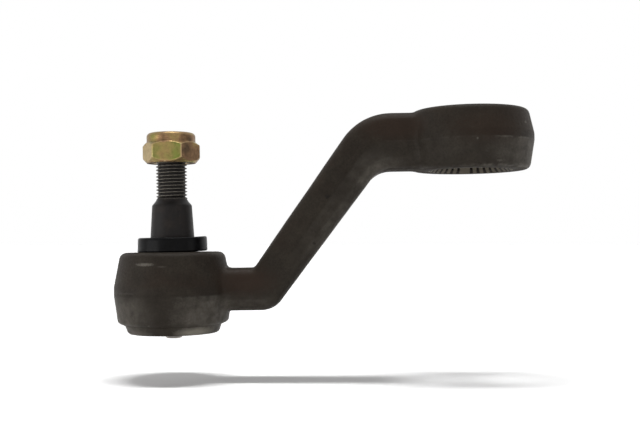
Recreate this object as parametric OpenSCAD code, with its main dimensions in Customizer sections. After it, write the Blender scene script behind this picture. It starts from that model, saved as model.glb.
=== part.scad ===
// Steering drop arm with a serrated eye at one end and a ball stud at the other.
// The origin is on the axis of the eye's bore, in the eye's forging parting plane.
// +Z runs up the bore, and the ball stud stands on the -X side.

/* [Arm] */
// Distance between the eye's bore axis and the ball stud's axis
arm_reach = 135.9; // [120:0.1:160]
// Drop from the eye's parting plane to the ball's centre
arm_drop = 66.1; // [55:0.1:85]
// Width of the beam beside the socket
beam_w_ball = 22; // [18:0.5:26]
// Width of the beam beside the eye
beam_w_eye = 27; // [22:0.5:32]
// Height of the beam beside the socket
beam_h_ball = 19; // [14:0.1:20]
// Height of the beam beside the eye
beam_h_eye = 25.4; // [20:0.1:26.4]
// Height of the beam's top above the ball's centre
beam_rise_ball = 9; // [7:0.1:11]
// Height of the beam's top above the eye's parting plane
beam_rise_eye = 11.4; // [8:0.1:12]
// Radius of the beam's four long edges
beam_round = 5; // [2:0.5:6]
// Draft of the beam's sides away from the parting line
beam_draft = 5; // [1:0.5:8]
// Distance from the ball stud's axis to the lower knee's inner corner
knee_low_in = 37.3; // [34:0.1:42]
// Distance from the ball stud's axis to the lower knee's outer corner
knee_low_out = 46; // [44:0.1:52]
// Distance from the eye's axis to the upper knee's inner corner
knee_top_in = 42.3; // [38:0.1:46]
// Distance from the eye's axis to the upper knee's outer corner
knee_top_out = 50; // [47:0.1:56]
// Radius of the lower knee's inner corner
knee_low_in_r = 3; // [1:0.5:6]
// Radius of the lower knee's outer corner
knee_low_out_r = 11; // [6:0.5:14]
// Radius of the upper knee's inner corner
knee_top_in_r = 12.6; // [8:0.2:16]
// Radius of the upper knee's outer corner
knee_top_out_r = 26; // [18:1:32]
// Radius of the blend where the beam's sides run into the socket and the eye
beam_blend = 6; // [2:0.5:8]

/* [Eye] */
// Diameter of the eye at its parting land
eye_d = 57.6; // [54:0.2:64]
// Height of the eye above the parting plane
eye_up = 12.8; // [12.2:0.1:16]
// Depth of the eye below the parting plane
eye_down = 14.5; // [14.2:0.1:18]
// Height of the trimmed parting land on the eye
eye_land = 3; // [1:0.2:5]
// Draft of the eye's upper half
eye_draft_up = 13; // [3:0.5:16]
// Draft of the eye's lower half
eye_draft_down = 9.5; // [3:0.5:14]
// Radius of the eye's rims
eye_round = 2.8; // [1:0.2:3.4]
// Diameter of the bore over the tips of the serrations
bore_d = 33.2; // [30:0.2:35]
// Depth of the serrations
serration_depth = 1.2; // [0.8:0.1:1.6]
// Angle between the flanks of one serration
serration_angle = 70; // [60:1:76]
// Width of the flat at the root of a serration
serration_root = 0.4; // [0.2:0.1:0.6]
// Chamfer of the bore's mouths beyond the serrations
mouth_chamfer = 1.2; // [0.6:0.1:1.8]

/* [Socket] */
// Diameter of the socket at its parting land
socket_d = 53; // [52:0.2:58]
// Height of the socket's top above the ball's centre
socket_up = 16.6; // [16:0.1:18]
// Height of the trimmed parting land on the socket
socket_land = 4.1; // [2:0.1:6]
// Depth of the parting plane below the ball's centre
socket_land_drop = 0.7; // [0:0.1:2]
// Draft of the socket's upper half
socket_draft_up = 11.5; // [3:0.5:13]
// Draft of the socket's lower half
socket_draft_down = 7.5; // [3:0.5:8]
// Radius of the socket's top rim
socket_round = 3.2; // [1:0.2:4]
// Radial wall between the ball and the socket's bore
bearing_wall = 4.5; // [3.5:0.1:5]
// Radial step of the cover's seat beyond the socket's bore
cover_step = 1.1; // [0.8:0.1:1.4]
// Wall of the rolled lip round the cover
lip_wall = 1.9; // [1.5:0.1:2.2]
// Thickness of the lip rolled over the cover
lip_t = 2; // [1.5:0.1:2.6]
// Width of the cover's rim under the rolled lip
lip_lap = 2.4; // [1.6:0.1:3]
// Radius of the throat at the socket's top
throat_r = 13.6; // [13.4:0.1:14.2]

/* [Ball joint] */
// Diameter of the ball
ball_d = 28; // [27:0.2:29]
// Height of the upper bearing's top above the ball's centre
bearing_up = 9; // [8:0.1:9.4]
// Space between the two bearings at the ball's equator
bearing_split = 1.3; // [0.8:0.1:2]
// Height of the disc spring as fitted
spring_h = 2.1; // [1.8:0.1:2.8]
// Thickness of the disc spring's metal
spring_t = 1.2; // [0.8:0.1:1.5]
// Thickness of the cover plate
cover_t = 2.5; // [2:0.1:3]
// Diameter of the grease plug's head
plug_d = 9.6; // [8:0.2:12]
// Height of the grease plug's head
plug_h = 4.4; // [2.5:0.1:5]
// Diameter of the grease hole in the cover
plug_hole_d = 6; // [4:0.2:7]

/* [Stud] */
// Diameter of the stud's neck under the taper
neck_d = 14.4; // [13:0.2:15]
// Diameter of the taper's large end
taper_d = 19.86; // [19:0.02:20.4]
// Length of the taper
taper_len = 15.6; // [12:0.1:20]
// Length of taper for each unit of change in diameter
taper_ratio = 8; // [6:1:16]
// Diameter of the thread
thread_d = 14; // [12:0.5:15]
// Length of the thread from the taper's shoulder to the stud's end
thread_len = 29.3; // [24:0.1:40]
// Height of the chamfer between the taper and the thread
shoulder_h = 2.4; // [1.6:0.1:3]

/* [Dust seal] */
// Diameter of the seal at its foot
seal_d = 31.6; // [30:0.2:34]
// Height of the seal
seal_h = 6.6; // [5.5:0.1:8]
// Wall of the seal's skirt
seal_wall = 2.7; // [2:0.1:3]
// Depth of the dish in the seal's top
seal_dish = 0.6; // [0.2:0.1:1]

/* [Lock nut] */
// Width of the nut across its flats
nut_af = 22.8; // [20:0.1:24]
// Height of the nut over its collar
nut_h = 13.7; // [12:0.1:16]
// Height of the nut's hexagon
nut_hex_h = 7.9; // [7:0.1:9]
// Diameter of the nut's collar
collar_d = 22; // [20.6:0.1:22.4]
// Length of thread inside the nut
nut_grip = 10.3; // [8:0.1:10.4]
// Turn of the nut about the stud
nut_turn = -2.2; // [-30:0.1:30]

/* [Fits] */
// Running clearance between the ball and its bearings
running_fit = 0.05; // [0.02:0.01:0.1]
// Clearance between pieces that stay put
seat_fit = 0.03; // [0.01:0.01:0.08]
// Clearance round the cup that slides in the socket
cup_fit = 0.3; // [0.1:0.05:0.5]

/* [Hidden] */
$fn = 96;

// Number of equal pieces in each rounded corner of a profile and of the beam's section
corner_n = 6;
section_n = 4;
knee_n = 9;
blend_n = 7;

// Serration positions round the bore, and how many of them stay blank as keys
serration_count = 36;
blank_count = 4;

// Radii that follow from the driving diameters
ball_r = ball_d / 2;
eye_r = eye_d / 2;
bore_r = bore_d / 2;
serration_r = bore_r + serration_depth;
mouth_r = serration_r + mouth_chamfer;
socket_r = socket_d / 2;
socket_bore_r = ball_r + bearing_wall;
cover_r = socket_bore_r + cover_step;
lip_r = cover_r + lip_wall;
lip_hole_r = cover_r - lip_lap;
thread_r = thread_d / 2;
neck_r = neck_d / 2;
taper_r = taper_d / 2;
taper_end_r = taper_r - taper_len / taper_ratio / 2;

// Heights measured from the ball's centre
cup_down = ball_r - 0.6;
cover_top = -cup_down - spring_h;
cover_low = cover_top - cover_t;
lip_low = cover_low - lip_t;
step_low = cover_low + 0.7;
step_top = step_low + 2.8;
land_top = socket_land / 2 - socket_land_drop;
land_low = -socket_land / 2 - socket_land_drop;
taper_low = socket_up + seal_h - 0.9;
taper_top = taper_low + taper_len;
thread_low = taper_top + shoulder_h;
stud_top = taper_top + thread_len;
nut_low = stud_top - nut_grip;

// Corners of the beam's side view, from the socket to the eye, as [x, z, radius]
beam_top = [
    [-arm_reach, beam_rise_ball - arm_drop, 0],
    [knee_low_in - arm_reach, beam_rise_ball - arm_drop, knee_low_in_r],
    [-knee_top_out, beam_rise_eye, knee_top_out_r],
    [-bore_r - 6, beam_rise_eye, 0]
];
beam_low = [
    [-arm_reach, beam_rise_ball - beam_h_ball - arm_drop, 0],
    [knee_low_out - arm_reach, beam_rise_ball - beam_h_ball - arm_drop, knee_low_out_r],
    [-knee_top_in, beam_rise_eye - beam_h_eye, knee_top_in_r],
    [-bore_r - 6, beam_rise_eye - beam_h_eye, 0]
];

// Radii of the socket and the eye at the height where the beam's sides blend into them
socket_blend_r = socket_r - 0.8;
eye_blend_r = eye_r - 1.2;

function unit(v) = v / norm(v);
function wrap(a) = a - 360 * round(a / 360);
function flat(p) = [p[0], p[1]];
function mix(a, b, t) = a + (b - a) * t;

// Points of an arc of radius r that rounds the corner v between the neighbours p and q
function fillet(p, v, q, r, n) =
    let (
        a = unit(p - v),
        b = unit(q - v),
        half = acos(a * b) / 2,
        centre = v + unit(a + b) * r / sin(half),
        from = v + a * r / tan(half) - centre,
        to = v + b * r / tan(half) - centre,
        start = atan2(from[1], from[0]),
        sweep = wrap(atan2(to[1], to[0]) - start)
    )
    [for (k = [0:n]) centre + r * [cos(start + sweep * k / n), sin(start + sweep * k / n)]];

// A closed outline of [x, y, radius] corners with its corners rounded
function rounded(corners, n = corner_n) =
    let (last = len(corners) - 1)
    [for (i = [0:last])
        let (
            p = flat(corners[i == 0 ? last : i - 1]),
            v = flat(corners[i]),
            q = flat(corners[i == last ? 0 : i + 1])
        )
        each (corners[i][2] > 0 ? fillet(p, v, q, corners[i][2], n) : [v])];

// One edge of the beam's side view: a run beside the socket, two knees and a run beside the eye
function edge_line(c) =
    let (
        low = fillet(flat(c[0]), flat(c[1]), flat(c[2]), c[1][2], knee_n),
        high = fillet(flat(c[1]), flat(c[2]), flat(c[3]), c[2][2], knee_n),
        socket_run = blend_run(socket_blend_r, beam_w_ball / 2),
        eye_run = blend_run(eye_blend_r, beam_w_eye / 2)
    )
    concat(
        [for (d = socket_run) [d - arm_reach, c[0][1]]],
        low,
        high,
        [for (k = [blend_n:-1:0]) [-eye_run[k], c[3][1]]]
    );

// Distances from a boss's axis at which the blend leaves the beam's side and meets the boss
function blend_far(r, w) = sqrt(pow(r + beam_blend, 2) - pow(w + beam_blend, 2));
function blend_near(r, w) = blend_far(r, w) * r / (r + beam_blend);

// Distances of the rings along a blend, from inside the boss to the plain beam
function blend_run(r, w) =
    [for (k = [0:blend_n]) mix(blend_near(r, w) - 3, blend_far(r, w) + 0.3, k / blend_n)];

// Extra half width of the beam at a distance d from the axis of a boss
function blend(d, r, w) =
    let (e = min(max(blend_far(r, w) - d, 0), blend_far(r, w) - blend_near(r, w)))
    beam_blend - sqrt(beam_blend * beam_blend - e * e);

// Half width of the beam at a place x along the arm
function half_width(x) =
    mix(beam_w_ball, beam_w_eye, min(max((x + arm_reach) / arm_reach, 0), 1)) / 2
    + blend(x + arm_reach, socket_blend_r, beam_w_ball / 2)
    + blend(-x, eye_blend_r, beam_w_eye / 2);

// One side of the beam's section, top to bottom, as [half width, depth]: two rounded edges and
// the parting ridge between them
function section_side(w, h) =
    let (
        r = beam_round,
        top_w = w - (h / 2 - r) * tan(beam_draft),
        turn = 90 - beam_draft
    )
    concat(
        [for (k = [0:section_n])
            [top_w - r + r * sin(turn * k / section_n), r - r * cos(turn * k / section_n)]],
        [[w, h / 2]],
        [for (k = [section_n:-1:0])
            [top_w - r + r * sin(turn * k / section_n), h - r + r * cos(turn * k / section_n)]]
    );

// A whole ring of the beam's section between a point on its top edge and one on its lower edge
function beam_ring(t, b) =
    let (
        h = norm(b - t),
        side = section_side(half_width((t[0] + b[0]) / 2), h),
        n = len(side),
        loop = concat(side, [for (k = [n - 1:-1:0]) [-side[k][0], side[k][1]]])
    )
    [for (p = loop) [mix(t[0], b[0], p[1] / h), p[0], mix(t[1], b[1], p[1] / h)]];

// A solid skinned over a row of rings that have the same number of points
module skin(rings) {
    m = len(rings[0]);
    last = len(rings) - 1;
    points = [for (ring = rings) each ring];
    sides = [for (i = [0:last - 1], j = [0:m - 1])
        let (a = i * m + j, b = i * m + (j + 1) % m)
        each [[a, b, a + m], [b, b + m, a + m]]];
    ends = [[for (j = [m - 1:-1:0]) j], [for (j = [0:m - 1]) last * m + j]];
    polyhedron(points = points, faces = concat(sides, ends));
}

// The cranked beam between the socket and the eye
module beam() {
    tops = edge_line(beam_top);
    lows = edge_line(beam_low);
    skin([for (i = [0:len(tops) - 1]) beam_ring(tops[i], lows[i])]);
}

// The eye's forged blank: two drafted halves that meet at a trimmed land
module eye_blank() {
    top_r = eye_r - (eye_up - eye_land / 2) * tan(eye_draft_up);
    low_r = eye_r - (eye_down - eye_land / 2) * tan(eye_draft_down);
    rotate_extrude()
        polygon(rounded([
            [0, -eye_down, 0],
            [low_r, -eye_down, eye_round],
            [eye_r, -eye_land / 2, 0.8],
            [eye_r, eye_land / 2, 0.8],
            [top_r, eye_up, eye_round],
            [0, eye_up, 0]
        ]));
}

// The bore's section: a round hole with serrations, all but the blank keys
module serrated_hole() {
    spread = tan(serration_angle / 2);
    root = serration_root / 2;
    mouth = root + (serration_depth + 1) * spread;
    circle(r = bore_r);
    for (k = [0:serration_count - 1])
        if (k % (serration_count / blank_count) != 0)
            rotate(k * 360 / serration_count)
                polygon([
                    [bore_r - 1, -mouth],
                    [serration_r, -root],
                    [serration_r, root],
                    [bore_r - 1, mouth]
                ]);
}

// What is cut out of the eye: the serrated hole and a chamfer at each mouth
module eye_hole() {
    over = 0.6;
    chamfer_h = mouth_r - bore_r + 2 * over;
    translate([0, 0, -eye_down - over])
        linear_extrude(eye_up + eye_down + 2 * over)
            serrated_hole();
    translate([0, 0, eye_up + over - chamfer_h])
        cylinder(h = chamfer_h, r1 = bore_r - over, r2 = mouth_r + over);
    translate([0, 0, -eye_down - over])
        cylinder(h = chamfer_h, r1 = mouth_r + over, r2 = bore_r - over);
}

// The socket's forged blank with its turned step and rolled lip
module socket_blank() {
    top_r = socket_r - (socket_up - land_top) * tan(socket_draft_up);
    step_r = socket_r + (step_top - land_low) * tan(socket_draft_down);
    rotate_extrude()
        polygon(rounded([
            [0, lip_low, 0],
            [lip_r - 0.9, lip_low, 1.6],
            [lip_r, step_low, 0.6],
            [step_r, step_top, 0.8],
            [socket_r, land_low, 0.8],
            [socket_r, land_top, 0.8],
            [top_r, socket_up, socket_round],
            [0, socket_up, 0]
        ]));
}

// What is cut out of the socket: the throat, the bore, the cover's seat and the lip's hole
module socket_hole() {
    throat_low_r = sqrt(ball_r * ball_r - bearing_up * bearing_up) + 0.45;
    rotate_extrude()
        polygon([
            [0, lip_low - 1],
            [lip_hole_r, lip_low - 1],
            [lip_hole_r, cover_low],
            [cover_r, cover_low],
            [cover_r, cover_top],
            [socket_bore_r, cover_top],
            [socket_bore_r, bearing_up],
            [throat_low_r, bearing_up],
            [throat_r, socket_up],
            [throat_r, socket_up + 1],
            [0, socket_up + 1]
        ]);
}

// Moves its children from the ball's centre to where the ball joint stands on the arm
module at_ball() {
    translate([-arm_reach, 0, -arm_drop])
        children();
}

module drop_arm() {
    color("#37332f")
        difference() {
            union() {
                eye_blank();
                at_ball() socket_blank();
                beam();
            }
            eye_hole();
            at_ball() socket_hole();
        }
}

module ball_stud() {
    color("#2b2a2a")
        at_ball() {
            sphere(r = ball_r);
            rotate_extrude()
                polygon(rounded([
                    [0, 0, 0],
                    [neck_r, 0, 0],
                    [neck_r, socket_up + 2.4, 2],
                    [taper_r, taper_low, 0],
                    [taper_end_r, taper_top, 0.5],
                    [thread_r, thread_low, 0],
                    [thread_r, stud_top - 1, 0],
                    [thread_r - 1, stud_top, 0],
                    [0, stud_top, 0]
                ]));
        }
}

// A ring round the ball's centre between two heights, hollowed to carry the ball
module ball_seat(r, low, top) {
    difference() {
        translate([0, 0, low])
            cylinder(h = top - low, r = r);
        sphere(r = ball_r + running_fit);
    }
}

module upper_bearing() {
    color("#d6d0bf")
        at_ball() ball_seat(socket_bore_r - seat_fit, bearing_split / 2, bearing_up);
}

module lower_bearing() {
    color("#d6d0bf")
        at_ball() ball_seat(socket_bore_r - cup_fit, -cup_down, -bearing_split / 2);
}

module disc_spring() {
    inner_r = plug_hole_d / 2 + 3;
    outer_r = socket_bore_r - 3;
    color("#4a4c50")
        at_ball()
            rotate_extrude()
                polygon([
                    [inner_r, -cup_down - spring_t],
                    [outer_r, cover_top],
                    [outer_r, cover_top + spring_t],
                    [inner_r, -cup_down]
                ]);
}

module cover_plate() {
    color("#5a5a58")
        at_ball()
            translate([0, 0, cover_low])
                difference() {
                    cylinder(h = cover_t, r = cover_r - seat_fit);
                    translate([0, 0, -1])
                        cylinder(h = cover_t + 2, r = plug_hole_d / 2);
                }
}

module grease_plug() {
    color("#b9b4ac")
        at_ball()
            rotate_extrude()
                polygon(rounded([
                    [0, cover_low - plug_h, 0],
                    [plug_d / 2 - 1.4, cover_low - plug_h, 1.2],
                    [plug_d / 2, cover_low - plug_h + 2, 0.8],
                    [plug_d / 2, cover_low, 0],
                    [plug_hole_d / 2 - seat_fit, cover_low, 0],
                    [plug_hole_d / 2 - seat_fit, cover_top, 0],
                    [0, cover_top, 0]
                ]));
}

module dust_seal() {
    lip_in = taper_r + running_fit;
    foot_r = seal_d / 2;
    color("#1b1b1d")
        at_ball()
            translate([0, 0, socket_up])
                rotate_extrude()
                    polygon(rounded([
                        [foot_r - seal_wall, 0, 0.5],
                        [foot_r, 0, 0.6],
                        [foot_r - 0.3, seal_h, 0.9],
                        [foot_r - 2.4, seal_h, 0.8],
                        [lip_in + 0.9, seal_h - seal_dish, 0],
                        [lip_in, seal_h - seal_dish, 0],
                        [lip_in, seal_h - seal_dish - 1.4, 0],
                        [foot_r - seal_wall, seal_h - 2.6, 0.8]
                    ]));
}

module lock_nut() {
    pocket_low = nut_grip + 0.2;
    pocket_top = nut_h - 1;
    corner_r = nut_af / sqrt(3);
    color("#a88a4e")
        at_ball()
            translate([0, 0, nut_low])
                rotate(nut_turn)
                    difference() {
                        union() {
                            intersection() {
                                cylinder(h = nut_hex_h + 2, r = corner_r, $fn = 6);
                                rotate_extrude()
                                    polygon([
                                        [0, 0],
                                        [corner_r - 2.2, 0],
                                        [corner_r + 0.2, 2.4],
                                        [corner_r + 0.2, nut_hex_h - 0.15],
                                        [collar_d / 2, nut_hex_h + 1.5],
                                        [0, nut_hex_h + 1.5]
                                    ]);
                            }
                            rotate_extrude()
                                polygon(rounded([
                                    [0, nut_hex_h - 1, 0],
                                    [collar_d / 2, nut_hex_h - 1, 0],
                                    [collar_d / 2, nut_h, 1.8],
                                    [0, nut_h, 0]
                                ]));
                        }
                        rotate_extrude()
                            polygon([
                                [0, -1],
                                [thread_r + 2, -1],
                                [thread_r + seat_fit, 1],
                                [thread_r + seat_fit, pocket_low],
                                [collar_d / 2 - 1.3, pocket_low],
                                [collar_d / 2 - 1.3, pocket_top],
                                [collar_d / 2 - 2.5, pocket_top],
                                [collar_d / 2 - 2.5, nut_h + 1],
                                [0, nut_h + 1]
                            ]);
                    }
}

module nut_insert() {
    ring_low = nut_grip + 0.2;
    ring_top = nut_h - 1;
    color("#d8d4c6")
        at_ball()
            translate([0, 0, nut_low + ring_low])
                difference() {
                    cylinder(h = ring_top - ring_low, r = collar_d / 2 - 1.3 - seat_fit);
                    translate([0, 0, -1])
                        cylinder(h = ring_top - ring_low + 2, r = thread_r - 0.3);
                }
}

drop_arm();
ball_stud();
upper_bearing();
lower_bearing();
disc_spring();
cover_plate();
grease_plug();
dust_seal();
lock_nut();
nut_insert();
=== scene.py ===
import math

import bmesh
import bpy
import numpy as np
from mathutils import Matrix, Vector, noise


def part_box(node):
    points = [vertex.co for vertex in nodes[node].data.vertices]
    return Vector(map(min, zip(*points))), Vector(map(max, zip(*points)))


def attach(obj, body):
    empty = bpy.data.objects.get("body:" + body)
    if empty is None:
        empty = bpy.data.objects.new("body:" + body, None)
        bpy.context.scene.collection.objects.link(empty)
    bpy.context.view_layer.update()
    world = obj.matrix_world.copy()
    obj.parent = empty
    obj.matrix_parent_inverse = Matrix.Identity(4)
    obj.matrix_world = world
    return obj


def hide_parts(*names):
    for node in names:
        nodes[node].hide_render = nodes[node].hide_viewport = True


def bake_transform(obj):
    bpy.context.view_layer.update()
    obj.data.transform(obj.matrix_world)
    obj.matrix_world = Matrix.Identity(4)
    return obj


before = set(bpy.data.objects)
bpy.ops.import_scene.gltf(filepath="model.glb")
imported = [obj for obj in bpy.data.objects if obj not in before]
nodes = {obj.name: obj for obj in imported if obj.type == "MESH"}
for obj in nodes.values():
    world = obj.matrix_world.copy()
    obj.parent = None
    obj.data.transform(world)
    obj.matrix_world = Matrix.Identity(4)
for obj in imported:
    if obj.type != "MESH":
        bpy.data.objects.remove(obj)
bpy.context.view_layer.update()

mm = 0.001
nearAxis = 0.001   # mm, where the profile of a turned cutter starts and ends

# the ball's centre, which the stud, seal and nut are drawn from
studLow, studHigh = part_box("ball_stud")
ballRadius = (studHigh.x - studLow.x) / 2
ball = Vector(((studLow.x + studHigh.x) / 2, 0.0, studLow.z + ballRadius))
print("frame loaded, ball at", [round(c / mm, 2) for c in ball])


def linear(hexCode):
    out = []
    for i in (1, 3, 5):
        c = int(hexCode[i:i + 2], 16) / 255
        out.append(c / 12.92 if c <= 0.04045 else ((c + 0.055) / 1.055) ** 2.4)
    return (*out, 1.0)


# inputs are nodes or sockets to link, plain values or hex colours;
# a node is linked by the first of its outputs that is in use
def setInputs(tree, node, inputs):
    for key, value in inputs.items():
        if isinstance(value, bpy.types.Node):
            value = next(out for out in value.outputs if out.enabled)
        if isinstance(value, bpy.types.NodeSocket):
            tree.links.new(value, node.inputs[key])
        else:
            node.inputs[key].default_value = linear(value) if isinstance(value, str) else value


# ramp is a list of (place, hex colour or grey)
def addNode(tree, kind, inputs=None, ramp=None, **settings):
    node = tree.nodes.new(kind)
    for key, value in settings.items():
        setattr(node, key, value)
    if ramp:
        while len(node.color_ramp.elements) < len(ramp):
            node.color_ramp.elements.new(0.5)
        for element, (place, shade) in zip(node.color_ramp.elements, ramp):
            element.position = place
            element.color = linear(shade) if isinstance(shade, str) else (shade, shade, shade, 1)
    setInputs(tree, node, inputs or {})
    return node


def startMaterial(name, **sockets):
    material = bpy.data.materials.new(name)
    material.use_nodes = True
    tree = material.node_tree
    shader = tree.nodes["Principled BSDF"]
    setInputs(tree, shader, {key.replace("_", " "): value for key, value in sockets.items()})
    place = addNode(tree, "ShaderNodeTexCoord").outputs["Object"]
    return material, tree, shader, place


def newPiece(name, verts, faces, material, at=Vector((0, 0, 0))):
    mesh = bpy.data.meshes.new(name)
    mesh.from_pydata([tuple(Vector(v) * mm + at) for v in verts], [], faces)
    mesh.validate()
    mesh.materials.append(material)
    piece = bpy.data.objects.new(name, mesh)
    bpy.context.scene.collection.objects.link(piece)
    return piece


# shades the mesh smooth apart from edges that turn by more degrees than this
def smoothBy(mesh, degrees):
    bm = bmesh.new()
    bm.from_mesh(mesh)
    bmesh.ops.recalc_face_normals(bm, faces=bm.faces)
    limit = math.radians(degrees)
    for face in bm.faces:
        face.smooth = True
    for edge in bm.edges:
        edge.smooth = len(edge.link_faces) == 2 and edge.calc_face_angle(0) < limit
    bm.to_mesh(mesh)
    bm.free()


# rows of (radius, height) turned round Z, where a row may give a radius for each angle;
# a closed profile meets itself, any other gets a small cap at each end
def turned(rows, steps, closed=False):
    verts, faces = [], []
    for radius, z in rows:
        for k in range(steps):
            a = 2 * math.pi * k / steps
            r = radius(a) if callable(radius) else radius
            verts.append((r * math.cos(a), r * math.sin(a), z))
    count = len(rows)
    for i in range(count if closed else count - 1):
        j = (i + 1) % count
        for k in range(steps):
            m = (k + 1) % steps
            faces.append((i * steps + k, i * steps + m, j * steps + m, j * steps + k))
    if not closed:
        faces += [tuple(reversed(range(steps))), tuple(range((count - 1) * steps, count * steps))]
    return verts, faces


# corners (radius, height, round) to a finer profile with each corner turned as an arc
def softCorners(corners, n):
    out = []
    count = len(corners)
    for i, (x, y, r) in enumerate(corners):
        v = Vector((x, y))
        if r <= 0:
            out.append((x, y))
            continue
        a = (Vector(corners[i - 1][:2]) - v).normalized()
        b = (Vector(corners[(i + 1) % count][:2]) - v).normalized()
        half = a.angle(b) / 2
        centre = v + (a + b).normalized() * (r / math.sin(half))
        start = v + a * (r / math.tan(half)) - centre
        stop = v + b * (r / math.tan(half)) - centre
        first = math.atan2(start.y, start.x)
        sweep = math.remainder(math.atan2(stop.y, stop.x) - first, 2 * math.pi)
        out += [(centre.x + r * math.cos(first + sweep * k / n),
                 centre.y + r * math.sin(first + sweep * k / n)) for k in range(n + 1)]
    return out


# drop-forged steel, shot blasted, then dipped in a dark phosphate and oiled:
# a dull brown-black skin with fine scale, greyer where it has rubbed, and a grey painted sheen of
# light from below on faces below the parting line
forgedSpec = {
    # dark scale, plain skin and thin skin, as place on the ramp and colour
    "skin": ((0.28, "#261f18"), (0.50, "#2e2821"), (0.72, "#38322a")),
    "gritTone": ((0.30, 0.6), (0.52, 0.86), (0.74, 1.0)),
    "blotchMm": 9, "gritMm": 0.9, "filmMm": 20, "cloudMm": 4,
    # patches, scuffs and pits are given as centre and half size in mm, and how strong
    "floorSheen": "#7c766d",     # grey painted sheen, painted light from below, on faces that lean down
    "paintedSheen": (((24.0, -16.0, -7.0), (22, 24, 10), 1.0),
              ((-153.5, -15.0, -78.0), (13, 22, 13), 0.85),
              ((-119.0, -18.0, -78.0), (15, 20, 13), 1.4),
              ((-104.0, -12.0, -73.0), (16, 12, 5), 0.6),
              ((-47.0, -12.0, -15.0), (16, 14, 10), 0.9),
              ((-64.0, -12.0, -40.0), (20, 14, 28), 0.55)),
    "sheenRagged": 0.8, "thinSheen": 0.08,   # edges of the painted sheen, and how strong it is elsewhere
    "rust": "#33271f",     # warm film on the upper die half
    "rusted": (((-103.0, -11.0, -63.0), (15, 9, 7), 0.9),
               ((-36.0, -13.0, 5.0), (18, 9, 7), 0.8),
               ((6.0, -27.0, 3.0), (20, 10, 8), 0.6)),
    "bare": "#6d6860",     # rubbed rims and scuffs
    "scuffs": (((-145.2, -23.5, -54.6), (4.6, 5, 0.75), 1.0),
               ((-137.0, -24.5, -55.6), (2.4, 5, 0.4), 0.25),
               ((21.8, -16.0, 5.3), (0.7, 4, 0.7), 0.8),
               ((-1.0, -28.5, -2.6), (0.5, 3, 0.6), 0.5),
               ((9.0, -26.0, -11.9), (1.6, 4, 0.6), 0.45),
               ((19.5, -19.0, -13.0), (1.0, 4, 0.5), 0.6)),
    "lipGlint": "#a39d90",   # painted highlight on the rolled lip
    "lipGlintPatches": (((-123.6, -17.0, -84.8), (9.2, 9, 2.2), 0.8),
                 ((-148.0, -16.0, -85.3), (7, 9, 1.6), 0.12)),
    "lipGlintRagged": 0.3,
    # trimmed flash: height, half width, from x, to x in mm, and how strong
    "flash": ((-1.7, 0.55, 8, 40, 0.65), (-1.7, 0.5, -40, 6, 0.06),
              (-69.0, 0.9, -131, -112, 0.3), (-67.2, 0.7, -170, -150, 0.15),
              (-13.7, 0.9, -6, 24, 0.6)),
    "flashFade": 3, "flashCore": 0.1,   # mm, at the ends and across
    "pit": "#15120f",
    "pits": (((-65.4, -12.5, -25.9), (1.2, 4, 1.0), 0.8),
             ((-71.4, -12.5, -46.5), (1.0, 4, 0.8), 0.6)),
    "crest": "#8a8472", "root": "#17130f",   # broached teeth: pale crests, partly rubbed and partly a painted highlight, and painted shade in the roots
    "mouth": "#665f53",    # chamfer at the teeth's ends
    # the eye's bore as in armSpec, in mm and degrees
    "crestRadius": 16.8, "rootRadius": 17.5, "mouthRadius": 19.0,
    "toothPitch": 10, "keyPitch": 90,
}


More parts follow.
